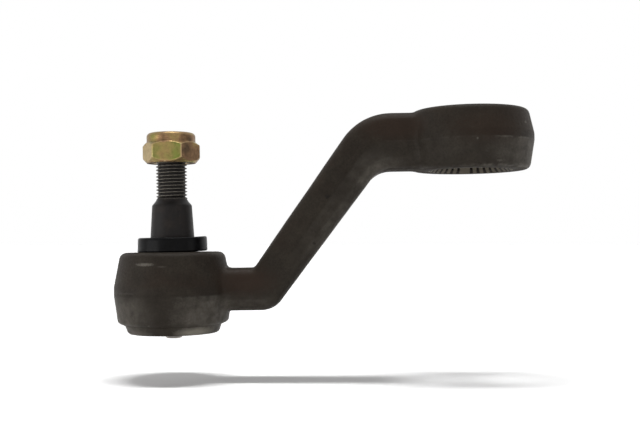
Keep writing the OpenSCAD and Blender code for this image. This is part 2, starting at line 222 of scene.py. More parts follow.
def makeForgedSteel(spec):
    material, tree, shader, place = startMaterial(
        "ForgedSteelPhosphated", Metallic=0.1, Specular_IOR_Level=0.15)
    where = addNode(tree, "ShaderNodeSeparateXYZ", {0: place}).outputs
    # which way a face leans tells the upper die half from the lower one
    lean = addNode(tree, "ShaderNodeSeparateXYZ", {
        0: addNode(tree, "ShaderNodeTexCoord").outputs["Normal"]}).outputs["Z"]
    upright = addNode(tree, "ShaderNodeMath", {0: lean}, operation="ABSOLUTE")
    blotch = addNode(tree, "ShaderNodeTexNoise", {
        "Vector": place, "Scale": 1 / (spec["blotchMm"] * mm), "Detail": 6.0, "Roughness": 0.6})
    # phosphate crystals and blasting dimples are under 0.1 mm, drawn 0.9 mm wide so they show
    grit = addNode(tree, "ShaderNodeTexNoise", {
        "Vector": place, "Scale": 1 / (spec["gritMm"] * mm), "Detail": 3.0, "Roughness": 0.7})
    film = addNode(tree, "ShaderNodeTexNoise", {
        "Vector": place, "Scale": 1 / (spec["filmMm"] * mm), "Detail": 4.0, "Roughness": 0.6})
    cloud = addNode(tree, "ShaderNodeTexNoise", {
        "Vector": place, "Scale": 1 / (spec["cloudMm"] * mm), "Detail": 5.0, "Roughness": 0.6})

    # soft patches, each at its own place, full within 0.4 and gone beyond 1.2 of its half size,
    # with edges that the grit makes more or less ragged
    def marks(places, last, ragged=1.6):
        for centre, half, strength in places:
            off = addNode(tree, "ShaderNodeVectorMath", {
                0: place, 1: [c * mm for c in centre]}, operation="SUBTRACT")
            part = addNode(tree, "ShaderNodeVectorMath", {
                0: off, 1: [h * mm for h in half]}, operation="DIVIDE")
            far = addNode(tree, "ShaderNodeVectorMath", {0: part}, operation="LENGTH")
            edge = addNode(tree, "ShaderNodeMath", {0: grit, 1: ragged, 2: far},
                           operation="MULTIPLY_ADD")
            mask = addNode(tree, "ShaderNodeMapRange", {
                "Value": edge, "From Min": 1.2 + ragged / 2, "From Max": 0.4 + ragged / 2,
                "To Max": strength})
            last = addNode(tree, "ShaderNodeMath", {0: last, 1: mask}, operation="MAXIMUM")
        return last

    body = addNode(tree, "ShaderNodeValToRGB", {"Fac": blotch}, ramp=spec["skin"])
    gritTone = addNode(tree, "ShaderNodeValToRGB", {"Fac": grit}, ramp=spec["gritTone"])
    mottled = addNode(tree, "ShaderNodeMix", {0: 0.85, 6: body, 7: gritTone},
                      data_type="RGBA", blend_type="MULTIPLY")
    # the warm film, on faces that lean up
    upper = addNode(tree, "ShaderNodeMapRange", {
        "Value": lean, "From Min": -0.05, "From Max": 0.2})
    rusty = addNode(tree, "ShaderNodeMapRange", {
        "Value": film, "From Min": 0.42, "From Max": 0.68, "To Max": 0.45})
    rustSide = addNode(tree, "ShaderNodeMath", {0: rusty, 1: upper}, operation="MULTIPLY")
    rustMask = addNode(tree, "ShaderNodeMath", {
        0: rustSide, 1: marks(spec["rusted"], 0.0)}, operation="MAXIMUM")
    warm = addNode(tree, "ShaderNodeMix", {0: rustMask, 6: mottled, 7: spec["rust"]},
                   data_type="RGBA")
    # painted light from below: a grey sheen painted on faces that lean down, while machined end
    # faces stay free of it
    lower = addNode(tree, "ShaderNodeMapRange", {
        "Value": lean, "From Min": -0.02, "From Max": -0.14})
    drafted = addNode(tree, "ShaderNodeMapRange", {
        "Value": lean, "From Min": -0.97, "From Max": -0.85})
    lowerSide = addNode(tree, "ShaderNodeMath", {0: lower, 1: drafted}, operation="MULTIPLY")
    sheenCloud = addNode(tree, "ShaderNodeMapRange", {
        "Value": cloud, "From Min": 0.15, "From Max": 0.85, "To Max": 0.72})
    sheenSide = addNode(tree, "ShaderNodeMath", {0: sheenCloud, 1: lowerSide}, operation="MULTIPLY")
    sheenPatchMask = marks(spec["paintedSheen"], spec["thinSheen"], spec["sheenRagged"])
    sheenMask = addNode(tree, "ShaderNodeMath", {0: sheenSide, 1: sheenPatchMask}, operation="MULTIPLY")
    paintedSheen = addNode(tree, "ShaderNodeMix", {0: sheenMask, 6: warm, 7: spec["floorSheen"]},
                    data_type="RGBA")
    # rubbed rims, scuffs and broken lines of flash
    rim = addNode(tree, "ShaderNodeMapRange", {
        "Value": addNode(tree, "ShaderNodeNewGeometry").outputs["Pointiness"],
        "From Min": 0.515, "From Max": 0.60, "To Max": 0.4})
    rubbed = marks(spec["scuffs"], rim)
    gaps = addNode(tree, "ShaderNodeMapRange", {
        "Value": cloud, "From Min": 0.4, "From Max": 0.6})
    fade = spec["flashFade"]
    for level, half, start, stop, strength in spec["flash"]:
        off = addNode(tree, "ShaderNodeMath", {0: where["Z"], 1: level * mm}, operation="SUBTRACT")
        far = addNode(tree, "ShaderNodeMath", {0: off}, operation="ABSOLUTE")
        band = addNode(tree, "ShaderNodeMapRange", {
            "Value": far, "From Min": half * mm, "From Max": spec["flashCore"] * mm,
            "To Max": strength})
        after = addNode(tree, "ShaderNodeMapRange", {
            "Value": where["X"], "From Min": (start - fade) * mm, "From Max": (start + fade) * mm})
        before = addNode(tree, "ShaderNodeMapRange", {
            "Value": where["X"], "From Min": (stop + fade) * mm, "From Max": (stop - fade) * mm})
        span = addNode(tree, "ShaderNodeMath", {0: after, 1: before}, operation="MULTIPLY")
        broken = addNode(tree, "ShaderNodeMath", {0: span, 1: gaps}, operation="MULTIPLY")
        line = addNode(tree, "ShaderNodeMath", {0: band, 1: broken}, operation="MULTIPLY")
        rubbed = addNode(tree, "ShaderNodeMath", {0: rubbed, 1: line}, operation="MAXIMUM")
    worn = addNode(tree, "ShaderNodeMix", {0: rubbed, 6: paintedSheen, 7: spec["bare"]},
                   data_type="RGBA")
    # painted highlight: a pale reflection painted on the rolled lip
    glinted = addNode(tree, "ShaderNodeMix", {
        0: marks(spec["lipGlintPatches"], 0.0, spec["lipGlintRagged"]), 6: worn, 7: spec["lipGlint"]},
        data_type="RGBA")
    hole = marks(spec["pits"], 0.0)
    pitted = addNode(tree, "ShaderNodeMix", {0: hole, 6: glinted, 7: spec["pit"]},
                     data_type="RGBA")
    # broached teeth in the eye: pale crests, partly rubbed and partly a painted highlight, painted
    # shade in the roots, and that painted shade carried over the chamfer in line with each gap
    sideways = addNode(tree, "ShaderNodeVectorMath", {0: place, 1: (1, 1, 0)},
                       operation="MULTIPLY")
    toAxis = addNode(tree, "ShaderNodeVectorMath", {0: sideways}, operation="LENGTH")
    inBore = addNode(tree, "ShaderNodeMapRange", {
        "Value": toAxis, "From Min": (spec["mouthRadius"] + 0.1) * mm,
        "From Max": (spec["mouthRadius"] - 0.1) * mm})
    rootShadeDepth = addNode(tree, "ShaderNodeMapRange", {
        "Value": toAxis, "From Min": spec["crestRadius"] * mm,
        "From Max": spec["rootRadius"] * mm})
    toothLightAndShade = addNode(tree, "ShaderNodeValToRGB", {"Fac": rootShadeDepth}, ramp=[
        (0.0, spec["crest"]), (1.0, spec["root"])])
    chamfered = addNode(tree, "ShaderNodeMapRange", {
        "Value": upright, "From Min": 0.4, "From Max": 0.6})
    angle = addNode(tree, "ShaderNodeMath", {0: where["Y"], 1: where["X"]}, operation="ARCTAN2")

    def fromNearest(degrees):   # 0 on each multiple of this angle, 0.5 midway
        turns = addNode(tree, "ShaderNodeMath", {0: angle, 1: math.radians(degrees)},
                        operation="DIVIDE")
        return addNode(tree, "ShaderNodeMath", {0: turns, 1: 0.5}, operation="PINGPONG")

    gap = addNode(tree, "ShaderNodeMapRange", {
        "Value": fromNearest(spec["toothPitch"]), "From Min": 0.32, "From Max": 0.14,
        "To Max": 0.95})
    notKey = addNode(tree, "ShaderNodeMapRange", {
        "Value": fromNearest(spec["keyPitch"]), "From Min": 0.05, "From Max": 0.07})
    gapShadeOnChamfer = addNode(tree, "ShaderNodeMath", {0: gap, 1: notKey}, operation="MULTIPLY")
    mouth = addNode(tree, "ShaderNodeMix", {0: gapShadeOnChamfer, 6: spec["mouth"], 7: spec["root"]},
                    data_type="RGBA")
    ends = addNode(tree, "ShaderNodeMix", {0: chamfered, 6: toothLightAndShade, 7: mouth},
                   data_type="RGBA")
    toothed = addNode(tree, "ShaderNodeMix", {0: inBore, 6: pitted, 7: ends}, data_type="RGBA")
    gloss = addNode(tree, "ShaderNodeMapRange", {
        "Value": grit, "From Min": 0.3, "From Max": 0.7, "To Min": 0.66, "To Max": 0.5})
    # faced ends are blasted dull, so they hardly shine at a low angle
    faced = addNode(tree, "ShaderNodeMapRange", {
        "Value": upright, "From Min": 0.85, "From Max": 0.97, "To Max": 0.3})
    dull = addNode(tree, "ShaderNodeMath", {0: gloss, 1: faced}, operation="ADD")
    height = addNode(tree, "ShaderNodeMath", {0: grit, 1: blotch}, operation="ADD")
    sunk = addNode(tree, "ShaderNodeMath", {0: height, 1: hole}, operation="SUBTRACT")
    bump = addNode(tree, "ShaderNodeBump", {
        "Height": sunk, "Strength": 0.45, "Distance": 0.15 * mm})
    setInputs(tree, shader, {"Base Color": toothed, "Roughness": dull, "Normal": bump})
    return material


# turned alloy steel, blacked hot in a salt bath: near black with a soft satin shine,
# fine rings left by the lathe and thread crests painted grey, partly rubbed and partly a painted
# highlight
blackSpec = {
    "tone": ((0.32, "#141211"), (0.5, "#1b1817"), (0.7, "#26211e")),
    "crest": "#7d7870",
    "crestFrom": 6.3, "crestTo": 7.0,      # mm from the stud's axis
    "threadFrom": 40.4, "threadTo": 41.8,  # mm above the ball's centre, where the crests begin
    "cloudMm": 5,
    "ringsMm": (14, 14, 0.6),   # lathe feed is about 0.2 mm, drawn 0.6 mm apart so it shows
}


def makeBlackStud(spec):
    material, tree, shader, place = startMaterial(
        "AlloySteelBlacked", Metallic=0.35, Specular_IOR_Level=0.2)
    drawn = addNode(tree, "ShaderNodeVectorMath", {
        0: place, 1: [1 / (size * mm) for size in spec["ringsMm"]]}, operation="MULTIPLY")
    rings = addNode(tree, "ShaderNodeTexNoise", {"Vector": drawn, "Scale": 1.0, "Detail": 2.0})
    cloud = addNode(tree, "ShaderNodeTexNoise", {
        "Vector": place, "Scale": 1 / (spec["cloudMm"] * mm), "Detail": 5.0, "Roughness": 0.6})
    tone = addNode(tree, "ShaderNodeValToRGB", {"Fac": cloud}, ramp=spec["tone"])
    # distance from the stud's axis tells the crests from the roots
    off = addNode(tree, "ShaderNodeVectorMath", {0: place, 1: ball}, operation="SUBTRACT")
    sideways = addNode(tree, "ShaderNodeVectorMath", {0: off, 1: (1, 1, 0)}, operation="MULTIPLY")
    radius = addNode(tree, "ShaderNodeVectorMath", {0: sideways}, operation="LENGTH")
    # pale thread crests: partly rubbed, partly a painted highlight
    crest = addNode(tree, "ShaderNodeMapRange", {
        "Value": radius, "From Min": spec["crestFrom"] * mm, "From Max": spec["crestTo"] * mm,
        "To Max": 0.85})
    above = addNode(tree, "ShaderNodeMapRange", {
        "Value": addNode(tree, "ShaderNodeSeparateXYZ", {0: off}).outputs["Z"],
        "From Min": spec["threadFrom"] * mm, "From Max": spec["threadTo"] * mm})
    crestWearAndHighlight = addNode(tree, "ShaderNodeMath", {0: crest, 1: above}, operation="MULTIPLY")
    rubbed = addNode(tree, "ShaderNodeMix", {0: crestWearAndHighlight, 6: tone, 7: spec["crest"]},
                     data_type="RGBA")
    gloss = addNode(tree, "ShaderNodeMapRange", {
        "Value": cloud, "From Min": 0.3, "From Max": 0.7, "To Min": 0.42, "To Max": 0.56})
    bump = addNode(tree, "ShaderNodeBump", {
        "Height": rings, "Strength": 0.15, "Distance": 0.05 * mm})
    setInputs(tree, shader, {"Base Color": rubbed, "Roughness": gloss, "Normal": bump})
    return material


# carbon steel, zinc plated and yellow chromated: straw gold that drifts to green and pink
# with the thickness of the film, darker where it has been handled, and with light and shade
# painted on the flats by the way they face
zincSpec = {
    # the film from thin to thick, as place on the ramp and colour
    "film": ((0.22, "#5a4630"), (0.36, "#85674a"), (0.46, "#91774f"), (0.58, "#8d7d4c"),
             (0.72, "#77783e"), (0.88, "#677530")),
    # flats painted lit, shaded or with a green reflection: the way they face, how nearly, and the
    # share at the edge and in full
    "greenReflection": ((-0.1, -0.98, 0), 0.9, 0.0, 0.26),
    "shadedFlat": ((0.85, -0.53, 0), 0.85, 0.08, 0.26),
    "litFlat": ((-0.885, -0.466, 0), 0.9, 0.0, 0.8),
    # painted light on the nut: a pale lit flat, pale corners that are partly worn and partly a
    # painted highlight, and painted shade on the washer face
    "litFlatTone": "#b69d69", "corner": "#d3c193", "washerShade": "#3f3122",
    "smutTone": ((0.28, 0.5), (0.5, 0.85), (0.7, 1.0)),
    "driftMm": 7, "smutMm": 1.6,
    "hexMiddle": 61, "hexTop": 66,   # mm above the ball's centre
    # where the painted green reflection is strongest: the way from the middle, and mm along it
    "greenReflectionWay": (0.8, 0, -0.6), "greenReflectionFrom": -6, "greenReflectionTo": 5,
}


def makeYellowZinc(spec):
    material, tree, shader, place = startMaterial("SteelYellowChromated", Metallic=0.9)
    normal = addNode(tree, "ShaderNodeTexCoord").outputs["Normal"]
    drift = addNode(tree, "ShaderNodeTexNoise", {
        "Vector": place, "Scale": 1 / (spec["driftMm"] * mm), "Detail": 3.0, "Roughness": 0.5})
    smut = addNode(tree, "ShaderNodeTexNoise", {
        "Vector": place, "Scale": 1 / (spec["smutMm"] * mm), "Detail": 5.0, "Roughness": 0.65})

    def facing(way, start, low, high):
        look = addNode(tree, "ShaderNodeVectorMath", {0: normal, 1: way}, operation="DOT_PRODUCT")
        return addNode(tree, "ShaderNodeMapRange", {
            "Value": look, "From Min": start, "From Max": 1.0, "To Min": low, "To Max": high})

    # the collar was rolled in after plating, which left the film thin and brown there
    hexOnly = addNode(tree, "ShaderNodeMapRange", {
        "Value": addNode(tree, "ShaderNodeSeparateXYZ", {0: place}).outputs["Z"],
        "From Min": ball.z + (spec["hexTop"] + 0.5) * mm,
        "From Max": ball.z + (spec["hexTop"] - 0.5) * mm})
    # a painted green reflection on the front flat,
    # strongest towards one corner
    off = addNode(tree, "ShaderNodeVectorMath", {
        0: place, 1: ball + Vector((0, 0, spec["hexMiddle"] * mm))}, operation="SUBTRACT")
    corner = addNode(tree, "ShaderNodeVectorMath", {0: off, 1: spec["greenReflectionWay"]},
                     operation="DOT_PRODUCT")
    greenReflectionFade = addNode(tree, "ShaderNodeMapRange", {
        "Value": corner, "From Min": spec["greenReflectionFrom"] * mm, "From Max": spec["greenReflectionTo"] * mm,
        "To Min": 0.35, "To Max": 1.25})
    greenReflectionCorner = addNode(tree, "ShaderNodeMath", {0: facing(*spec["greenReflection"]), 1: greenReflectionFade},
                        operation="MULTIPLY")
    greenReflectionFlat = addNode(tree, "ShaderNodeMath", {0: greenReflectionCorner, 1: hexOnly}, operation="MULTIPLY")
    rolledIn = addNode(tree, "ShaderNodeMath", {0: hexOnly, 1: 0.08, 2: greenReflectionFlat},
                       operation="MULTIPLY_ADD")
    # and painted shade, brown, on the flat beside it
    spread = addNode(tree, "ShaderNodeMath", {0: drift, 1: facing(*spec["shadedFlat"])},
                     operation="SUBTRACT")
    thick = addNode(tree, "ShaderNodeMath", {0: spread, 1: rolledIn}, operation="ADD")
    film = addNode(tree, "ShaderNodeValToRGB", {"Fac": thick}, ramp=spec["film"])
    # a painted highlight makes one flat pale, and the corners are pale, partly where they have
    # lost the film and partly a painted highlight
    litFlatMask = addNode(tree, "ShaderNodeMath", {0: facing(*spec["litFlat"]), 1: hexOnly},
                      operation="MULTIPLY")
    litFlatTone = addNode(tree, "ShaderNodeMix", {0: litFlatMask, 6: film, 7: spec["litFlatTone"]},
                   data_type="RGBA")
    corners = addNode(tree, "ShaderNodeMapRange", {
        "Value": addNode(tree, "ShaderNodeNewGeometry").outputs["Pointiness"],
        "From Min": 0.512, "From Max": 0.56, "To Max": 0.55})
    rubbed = addNode(tree, "ShaderNodeMix", {0: corners, 6: litFlatTone, 7: spec["corner"]},
                     data_type="RGBA")
    # painted shade on the washer face, which faces down
    under = addNode(tree, "ShaderNodeMapRange", {
        "Value": addNode(tree, "ShaderNodeSeparateXYZ", {0: normal}).outputs["Z"],
        "From Min": -0.75, "From Max": -0.95, "To Max": 0.85})
    washerShaded = addNode(tree, "ShaderNodeMix", {0: under, 6: rubbed, 7: spec["washerShade"]},
                    data_type="RGBA")
    smutTone = addNode(tree, "ShaderNodeValToRGB", {"Fac": smut}, ramp=spec["smutTone"])
    stained = addNode(tree, "ShaderNodeMix", {0: 0.75, 6: washerShaded, 7: smutTone},
                      data_type="RGBA", blend_type="MULTIPLY")
    gloss = addNode(tree, "ShaderNodeMapRange", {
        "Value": smut, "From Min": 0.3, "From Max": 0.7, "To Min": 0.46, "To Max": 0.32})
    dull = addNode(tree, "ShaderNodeMath", {0: under, 1: 0.5, 2: gloss}, operation="MULTIPLY_ADD")
    bump = addNode(tree, "ShaderNodeBump", {
        "Height": smut, "Strength": 0.2, "Distance": 0.05 * mm})
    setInputs(tree, shader, {"Base Color": stained, "Roughness": dull, "Normal": bump})
    return material


# plainer surfaces share one recipe: a clouded colour, clouded gloss and a fine skin,
# whose grain is under 0.1 mm and is drawn about 0.5 mm wide so it shows
def makeClouded(name, tones, cloudMm, skinMm, rough, skinStrength=0.15, **sockets):
    material, tree, shader, place = startMaterial(name, **sockets)
    cloud = addNode(tree, "ShaderNodeTexNoise", {
        "Vector": place, "Scale": 1 / (cloudMm * mm), "Detail": 4.0, "Roughness": 0.6})
    tone = addNode(tree, "ShaderNodeValToRGB", {"Fac": cloud}, ramp=tones)
    gloss = addNode(tree, "ShaderNodeMapRange", {
        "Value": cloud, "From Min": 0.3, "From Max": 0.7, "To Min": rough[0], "To Max": rough[1]})
    skin = addNode(tree, "ShaderNodeTexNoise", {
        "Vector": place, "Scale": 1 / (skinMm * mm), "Detail": 2.0})
    bump = addNode(tree, "ShaderNodeBump", {
        "Height": skin, "Strength": skinStrength, "Distance": 0.05 * mm})
    setInputs(tree, shader, {"Base Color": tone, "Roughness": gloss, "Normal": bump})
    return material


forgedSteel = makeForgedSteel(forgedSpec)
blackStud = makeBlackStud(blackSpec)
yellowZinc = makeYellowZinc(zincSpec)
# nitrile rubber, moulded: deep black, a dim bluish bloom and a skin that is almost smooth
sealRubber = makeClouded(
    "NitrileRubberMoulded", ((0.3, "#030303"), (0.55, "#060607"), (0.78, "#0c0d0f")),
    4, 0.5, (0.27, 0.38), 0.12, IOR=1.52, Specular_IOR_Level=0.07)
# turned acetal: milky, waxy, faint tool rings
acetal = makeClouded(
    "AcetalTurned", ((0.3, "#cfc8b6"), (0.7, "#ddd8ca")), 5, 0.4, (0.36, 0.48), IOR=1.48)
# spring steel, quenched in oil: blue-grey temper colour
springSteel = makeClouded(
    "SpringSteelTempered", ((0.3, "#33363c"), (0.7, "#545860")), 4, 0.5, (0.3, 0.45), Metallic=0.9)
# pressed mild steel under the same dark phosphate as the arm
pressedSteel = makeClouded(
    "MildSteelPhosphated", ((0.3, "#2e2a26"), (0.7, "#4a4640")), 4, 0.7, (0.42, 0.6), Metallic=0.4)
# steel button, zinc plated and clear passivated: pale grey with a cool shine
brightZinc = makeClouded(
    "SteelClearZinc", ((0.3, "#a29a94"), (0.7, "#c9c3bc")), 2.5, 0.5, (0.28, 0.42), Metallic=0.85)
# moulded nylon: pale, a little see-through to the eye, soft gloss
nylonRing = makeClouded(
    "NylonMoulded", ((0.3, "#cbc6b4"), (0.7, "#e0dccd")), 3, 0.4, (0.34, 0.46), IOR=1.53)
print("materials made")

# the arm's form, in mm, with the socket's heights from the ball's centre
armSpec = {
    "skinStep": 0.65,     # between points of the forged skin
    "fillPasses": 26,     # more passes give wider fillets where the bar runs into the eye
    "socketFill": 0.4,    # share of those passes beside the socket, where the fillet is tight
    "fillReach": 9, "fillFade": 5,   # how far from a boss the fillets run, and fade over
    "softPasses": 1,      # general softness of the die's corners
    "dieWear": 0.07,      # slow unevenness of the skin
    "wearLong": 13, "wearShort": 4,   # length of its waves
    "eyeUp": 12.8, "eyeDown": 14.5, "eyeRadius": 28.8,
    "boreRadius": 16.6, "toothDepth": 1.2, "toothAngle": 70, "toothRoot": 0.4,
    "teeth": 36, "keys": 4, "mouthRadius": 19.0,
    "socketUp": 16.6, "socketRadius": 26.5,
    "throat": 13.6, "throatLow": 11.17, "cup": 18.5, "cupTop": 9.0,
    "coverSeat": 19.6, "coverTop": -15.5, "coverLow": -18.0,
    "lipHole": 17.2, "lipLow": -20.0,
    # the turned ledge outside the lip, as radius and height
    "ledge": ((30.0, -13.9), (25.2, -14.75), (21.7, -16.25), (20.75, -18.9), (20.3, -19.55),
              (19.6, -19.95), (19.0, -21.5), (30.0, -21.5)),
    "around": 144,
}


def forgedBlank(spec):
    bm = bmesh.new()
    bm.from_mesh(nodes["drop_arm"].data)
    bmesh.ops.remove_doubles(bm, verts=bm.verts, dist=1e-7)
    # the bores are filled for now and cut again with crisp edges
    for radius, low, high, at in (
            (spec["mouthRadius"] + 0.6, -spec["eyeDown"], spec["eyeUp"], Vector()),
            (spec["coverSeat"] - 0.5, spec["lipLow"], spec["cupTop"] - 1, ball),
            (spec["throat"] + 1.2, spec["cupTop"] - 4, spec["socketUp"], ball)):
        centre = at + Vector((0, 0, (low + high) / 2 * mm))
        bmesh.ops.create_cone(bm, cap_ends=True, segments=96, radius1=radius * mm,
                              radius2=radius * mm, depth=(high - low) * mm,
                              matrix=Matrix.Translation(centre))
    mesh = bpy.data.meshes.new("forgedBlank")
    bm.to_mesh(mesh)
    bm.free()
    rough = bpy.data.objects.new("forgedBlank", mesh)
    bpy.context.scene.collection.objects.link(rough)
    skin = rough.modifiers.new("skin", "REMESH")
    skin.mode = "VOXEL"
    skin.voxel_size = spec["skinStep"] * mm
    bpy.context.view_layer.update()
    fine = bpy.data.meshes.new_from_object(
        rough.evaluated_get(bpy.context.evaluated_depsgraph_get()))
    bpy.data.objects.remove(rough)
    return fine


def pointsOf(mesh):
    co = np.zeros(len(mesh.vertices) * 3)
    mesh.vertices.foreach_get("co", co)
    return co.reshape(-1, 3)


def normalsOf(mesh):
    n = np.zeros(len(mesh.vertices) * 3, np.float32)
    mesh.vertex_normals.foreach_get("vector", n)
    return n.reshape(-1, 3).astype(float)


def putPoints(mesh, co):
    mesh.vertices.foreach_set("co", co.astype(np.float32).ravel())
    mesh.update()


def softenForging(mesh, spec):
    ends = np.zeros(len(mesh.edges) * 2, np.int32)
    mesh.edges.foreach_get("vertices", ends)
    a, b = ends.reshape(-1, 2).T
    count = len(mesh.vertices)
    degree = np.bincount(a, minlength=count) + np.bincount(b, minlength=count)
    co = pointsOf(mesh)

    def pull(p):   # from each point to the middle of its neighbours
        mean = np.stack([np.bincount(a, p[b, i], count) + np.bincount(b, p[a, i], count)
                         for i in range(3)], 1)
        return mean / degree[:, None] - p

    # fillets: only hollow corners near the two bosses are filled, so the outlines stay
    toEye = np.hypot(co[:, 0], co[:, 1]) / mm - spec["eyeRadius"]
    toSocket = np.hypot(co[:, 0] - ball.x, co[:, 1]) / mm - spec["socketRadius"]
    nearEye = np.clip((spec["fillReach"] - toEye) / spec["fillFade"], 0, 1)
    nearSocket = np.clip((spec["fillReach"] - toSocket) / spec["fillFade"], 0, 1)
    for k in range(spec["fillPasses"]):
        tight = k < spec["fillPasses"] * spec["socketFill"]
        near = np.maximum(nearEye, nearSocket) if tight else nearEye
        if k % 6 == 0:   # the normals follow now and then
            putPoints(mesh, co)
            n = normalsOf(mesh)
        d = pull(co)
        hollow = np.einsum("ij,ij->i", d, n)
        co = co + d * (0.5 * near * (hollow > 0))[:, None]
    for k in range(spec["softPasses"]):
        co = co + 0.5 * pull(co)
    putPoints(mesh, co)
    # slow unevenness, kept off the flat ends of the eye
    n = normalsOf(mesh)
    wave = np.array([noise.noise(Vector(p) / (spec["wearLong"] * mm))
                     + 0.4 * noise.noise(Vector(p) / (spec["wearShort"] * mm)) for p in co])
    wave *= 1 - np.clip((np.abs(n[:, 2]) - 0.9) / 0.08, 0, 1)
    co = co + n * (wave * spec["dieWear"] * mm)[:, None]
    low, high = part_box("drop_arm")
    putPoints(mesh, np.clip(co, np.array(low), np.array(high)))


def toothedOutline(spec):
    pitch = 360 / spec["teeth"]
    bore = spec["boreRadius"]
    deep = bore + spec["toothDepth"]
    root = spec["toothRoot"] / 2
    mouth = root + spec["toothDepth"] * math.tan(math.radians(spec["toothAngle"] / 2))
    half = math.degrees(math.asin(mouth / bore))
    flat = math.degrees(math.asin(root / deep))
    out = []
    for k in range(spec["teeth"]):
        at = k * pitch
        if k % (spec["teeth"] // spec["keys"]) == 0:
            steps = [(at + d, bore) for d in (-pitch / 2, -pitch / 4, 0, pitch / 4)]
        else:
            steps = [(at - pitch / 2, bore), (at - half, bore), (at - flat, deep),
                     (at + flat, deep), (at + half, bore)]
        out += [(r * math.cos(math.radians(d)), r * math.sin(math.radians(d)))
                for d, r in steps]
    return out


def cutOut(piece, verts, faces, material, at=Vector((0, 0, 0))):
    tool = newPiece("cutter", verts, faces, material, at)
    smoothBy(tool.data, 30)
    cut = piece.modifiers.new("cut", "BOOLEAN")
    cut.operation = "DIFFERENCE"
    cut.solver = "EXACT"
    cut.object = tool
    cut.material_mode = "TRANSFER"
    bpy.context.view_layer.update()
    mesh = bpy.data.meshes.new_from_object(
        piece.evaluated_get(bpy.context.evaluated_depsgraph_get()))
    piece.modifiers.clear()
    piece.data = mesh
    bpy.data.objects.remove(tool)


def makeArm(spec):
    mesh = forgedBlank(spec)
    softenForging(mesh, spec)
    mesh.materials.clear()
    mesh.materials.append(forgedSteel)
    arm = bpy.data.objects.new("forgedArm", mesh)
    bpy.context.scene.collection.objects.link(arm)
    print("forged skin", len(mesh.polygons), "faces")
    # the broached bore
    outline = toothedOutline(spec)
    count = len(outline)
    verts = [(x, y, z) for z in (-spec["eyeDown"] - 2, spec["eyeUp"] + 2) for x, y in outline]
    faces = [tuple(reversed(range(count))), tuple(range(count, 2 * count))]
    faces += [(k, (k + 1) % count, count + (k + 1) % count, count + k) for k in range(count)]
    cutOut(arm, verts, faces, forgedSteel)
    # a 45 degree chamfer at each mouth, cut from inside the bore to beyond the face
    inside, beyond = 0.6, 2
    for up, face in ((1, spec["eyeUp"]), (-1, spec["eyeDown"])):
        deep = spec["mouthRadius"] - spec["boreRadius"] + inside
        rows = [(nearAxis, up * (face - deep)), (spec["boreRadius"] - inside, up * (face - deep)),
                (spec["mouthRadius"] + beyond, up * (face + beyond)),
                (nearAxis, up * (face + beyond))]
        cutOut(arm, *turned(rows, spec["around"]), forgedSteel)
    # the socket's throat, bore, cover seat and the hole in the rolled lip
    rows = [(nearAxis, spec["lipLow"] - 1), (spec["lipHole"], spec["lipLow"] - 1),
            (spec["lipHole"], spec["coverLow"]), (spec["coverSeat"], spec["coverLow"]),
            (spec["coverSeat"], spec["coverTop"]), (spec["cup"], spec["coverTop"]),
            (spec["cup"], spec["cupTop"]), (spec["throatLow"], spec["cupTop"]),
            (spec["throat"], spec["socketUp"]), (spec["throat"], spec["socketUp"] + 1),
            (nearAxis, spec["socketUp"] + 1)]
    cutOut(arm, *turned(rows, spec["around"]), forgedSteel, ball)
    cutOut(arm, *turned(spec["ledge"], spec["around"], closed=True), forgedSteel, ball)
    smoothBy(arm.data, 32)
    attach(arm, "arm")
    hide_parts("drop_arm")
    return arm


forgedArm = makeArm(armSpec)
print("forged arm made,", sum(len(p.vertices) - 2 for p in forgedArm.data.polygons), "triangles")

# the stud's form in mm, with heights from the ball's centre; profiles are radius and height
studSpec = {
    "neck": 7.2, "neckFrom": 16.0, "neckTo": 17.6,
    "flare": ((7.35, 18.3), (7.75, 19.0), (8.4, 20.0), (9.2, 21.2), (9.7, 21.95), (9.88, 22.15)),
    "taperBig": 9.93, "taperLow": 22.3, "taperSmall": 8.955, "taperTop": 37.9,
    "taperFrom": 22.5, "taperSoft": 0.45,   # where its rounded foot ends, and its rounded top
    "shoulder": ((8.9, 37.72), (8.78, 37.98), (8.55, 38.25), (8.1, 38.75), (7.55, 39.4),
                 (7.25, 39.85), (7.08, 40.2)),
    "threadRadius": 7.0, "threadLow": 40.3, "top": 67.2,
    "pitch": 1.5, "threadDepth": 0.92,
    "crest": 0.07, "flank": 0.29,   # half the crest and one flank, as shares of the pitch
    "threadStart": 0.65,      # share of a turn
    "runOut": (40.3, 41.7),   # the cut rises out of the stud between these heights
    "tipChamfer": 1.1,
    "tip": ((5.2, 0.0), (3.0, 0.0), (0.6, -0.05), (0.02, -0.3)),   # heights from the top
    "around": 80, "rowsPerPitch": 14,
    "ballRows": 24, "neckRows": 12, "taperRows": 23,
}


